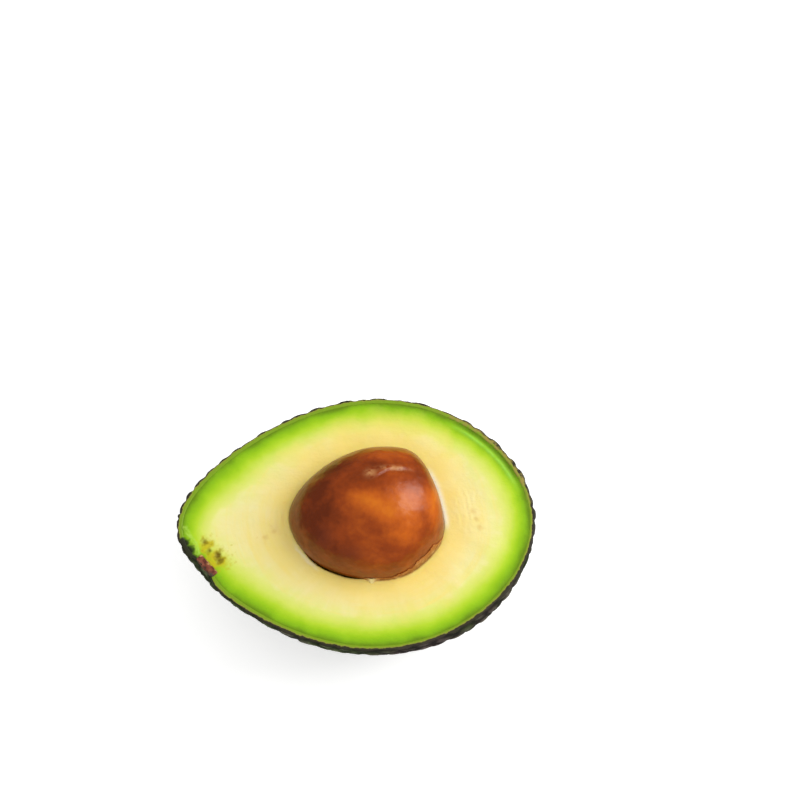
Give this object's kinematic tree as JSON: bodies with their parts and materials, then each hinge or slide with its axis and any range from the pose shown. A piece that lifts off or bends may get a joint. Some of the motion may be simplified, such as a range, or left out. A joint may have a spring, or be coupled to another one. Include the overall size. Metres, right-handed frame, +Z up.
{
  "type": "avocado half",
  "caption": "Ripe avocado cut lengthwise, one half with its stone still in it, lying on its pebbled back with the cut face level and up.",
  "frame": {"origin": "under the middle of the half, on the surface that it lies on", "axes": "+X along the fruit towards its blossom end, +Z up out of the cut face"},
  "size_m": [0.0962, 0.0706, 0.0523],
  "materials": {
    "skin": "satin",
    "flesh": "satin",
    "stone": "gloss",
    "stem_button": "matte"
  },
  "bodies": {
    "root": {"skin": "skin", "flesh": "flesh", "stone": "stone", "stem_button": "stem_button"}
  },
  "joints": []
}
